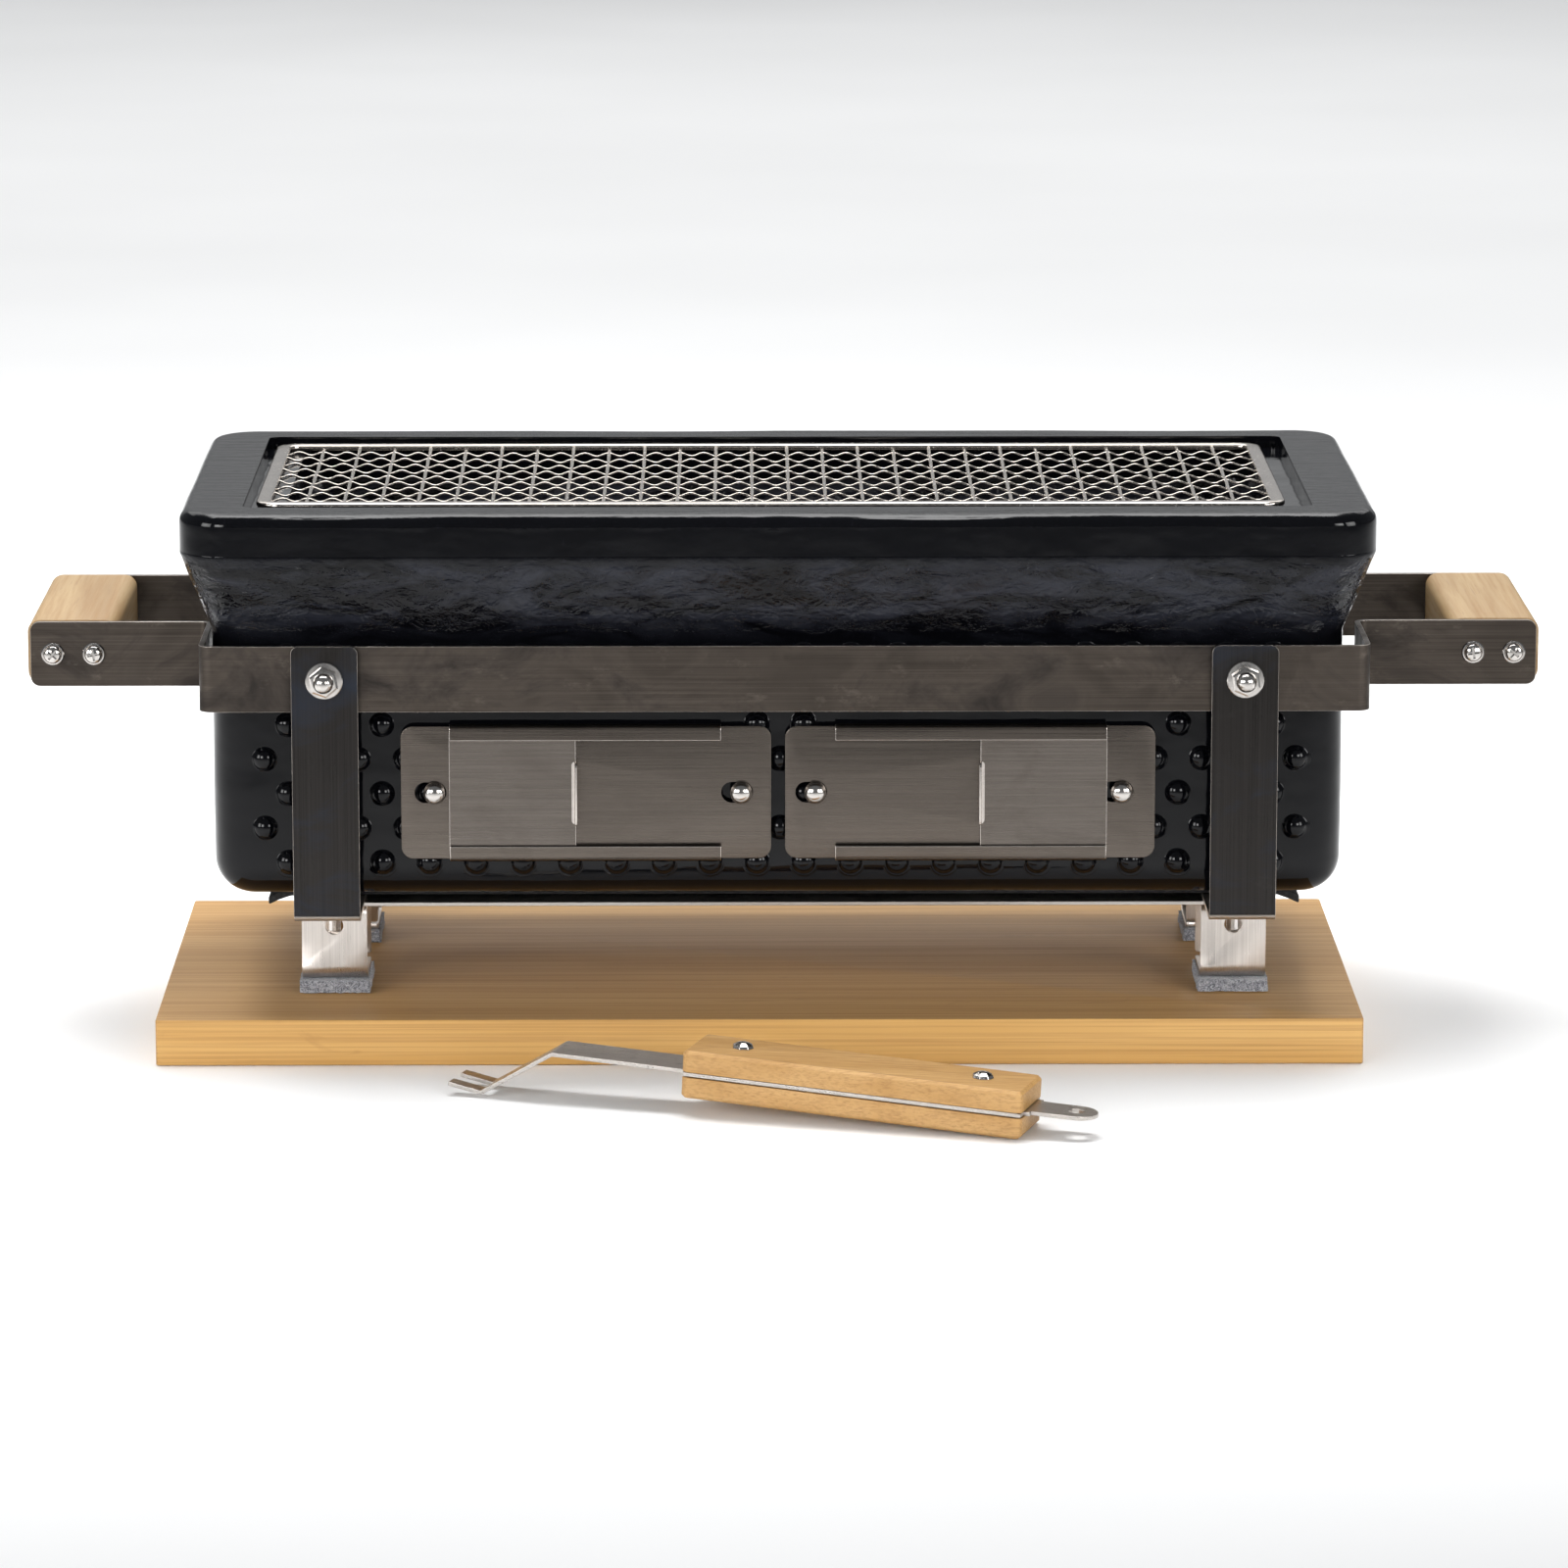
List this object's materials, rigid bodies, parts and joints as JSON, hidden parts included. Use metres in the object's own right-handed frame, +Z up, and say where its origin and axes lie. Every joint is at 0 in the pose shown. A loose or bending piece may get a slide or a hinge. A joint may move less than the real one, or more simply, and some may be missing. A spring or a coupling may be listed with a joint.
{
  "type": "hibachi grill",
  "caption": "Tabletop charcoal grill: glazed ceramic firebox in a steel strap cradle on a bamboo board, with woven grate, sliding air vents and grate lifter.",
  "frame": {"origin": "centre of the grill on the underside of the board, where the object stands on a table", "axes": "+X along the long side to the right seen from the front, +Y to the rear, +Z up"},
  "size_m": [0.578, 0.3403, 0.2113],
  "materials": {
    "bamboo": "oiled bamboo, long fine grain",
    "grip_wood": "smooth pale hardwood",
    "lifter_bamboo": "smooth bamboo",
    "felt": "speckled grey felt",
    "black_mat": "soft matt black",
    "glaze": "glossy black glaze",
    "strap_steel": "long brushed grain, smudged",
    "leg_steel": "dark brushed, blotched",
    "bright_steel": "satin brushed",
    "vent_steel": "fine vertical brushing",
    "fastener": "polished stainless",
    "grate_wire": "bright plated wire",
    "coal_grate": "plain steel sheet"
  },
  "bodies": {
    "base_board": {"bamboo_board": "bamboo"},
    "cradle": {"front_left_felt_pad": "felt", "front_right_felt_pad": "felt", "rear_left_felt_pad": "felt", "rear_right_felt_pad": "felt", "front_left_foot": "bright_steel", "front_right_foot": "bright_steel", "rear_left_foot": "bright_steel", "rear_right_foot": "bright_steel", "front_left_foot_bolt": "fastener", "front_right_foot_bolt": "fastener", "rear_left_foot_bolt": "fastener", "rear_right_foot_bolt": "fastener", "front_left_foot_nut": "fastener", "front_right_foot_nut": "fastener", "rear_left_foot_nut": "fastener", "rear_right_foot_nut": "fastener", "base_plate": "bright_steel", "cushion_mat": "black_mat", "front_band_strap": "strap_steel", "rear_band_strap": "strap_steel", "left_leg_strap": "leg_steel", "right_leg_strap": "leg_steel", "front_left_leg_bolt": "fastener", "front_right_leg_bolt": "fastener", "rear_left_leg_bolt": "fastener", "rear_right_leg_bolt": "fastener", "front_left_leg_cap_nut": "fastener", "front_right_leg_cap_nut": "fastener", "rear_left_leg_cap_nut": "fastener", "rear_right_leg_cap_nut": "fastener", "left_grip": "grip_wood", "right_grip": "grip_wood", "front_left_grip_screw_1": "fastener", "front_left_grip_screw_2": "fastener", "front_right_grip_screw_1": "fastener", "front_right_grip_screw_2": "fastener", "rear_left_grip_screw_1": "fastener", "rear_left_grip_screw_2": "fastener", "rear_right_grip_screw_1": "fastener", "rear_right_grip_screw_2": "fastener"},
    "firebox": {"firebox": "glaze", "left_vent_plate": "vent_steel", "right_vent_plate": "vent_steel", "left_vent_cap_screw_1": "fastener", "left_vent_cap_screw_2": "fastener", "right_vent_cap_screw_1": "fastener", "right_vent_cap_screw_2": "fastener"},
    "left_vent_door": {"left_vent_door": "vent_steel"},
    "right_vent_door": {"right_vent_door": "vent_steel"},
    "cooking_grate": {"grate_frame": "grate_wire", "grate_mesh": "grate_wire"},
    "charcoal_grate": {"charcoal_grate": "coal_grate"},
    "grate_lifter": {"lifter_blade": "bright_steel", "lifter_upper_scale": "lifter_bamboo", "lifter_lower_scale": "lifter_bamboo", "lifter_rivet_1": "fastener", "lifter_rivet_2": "fastener"}
  },
  "joints": [
    {"name": "cradle_lift", "type": "slide", "parent": "base_board", "child": "cradle", "axis": [0, 0, 1], "range_m": [0, 0.25]},
    {"name": "firebox_lift", "type": "slide", "parent": "cradle", "child": "firebox", "axis": [0, 0, 1], "range_m": [0, 0.12]},
    {"name": "left_vent_slide", "type": "slide", "parent": "firebox", "child": "left_vent_door", "axis": [1, 0, 0], "range_m": [0, 0.05]},
    {"name": "right_vent_slide", "type": "slide", "parent": "firebox", "child": "right_vent_door", "axis": [-1, 0, 0], "range_m": [0, 0.05]},
    {"name": "cooking_grate_lift", "type": "slide", "parent": "firebox", "child": "cooking_grate", "axis": [0, 0, 1], "range_m": [0, 0.15]},
    {"name": "charcoal_grate_lift", "type": "slide", "parent": "firebox", "child": "charcoal_grate", "axis": [0, 0, 1], "range_m": [0, 0.04]},
    {"name": "lifter_pick_up", "type": "slide", "parent": "base_board", "child": "grate_lifter", "axis": [0, 0, 1], "range_m": [0, 0.15]}
  ]
}
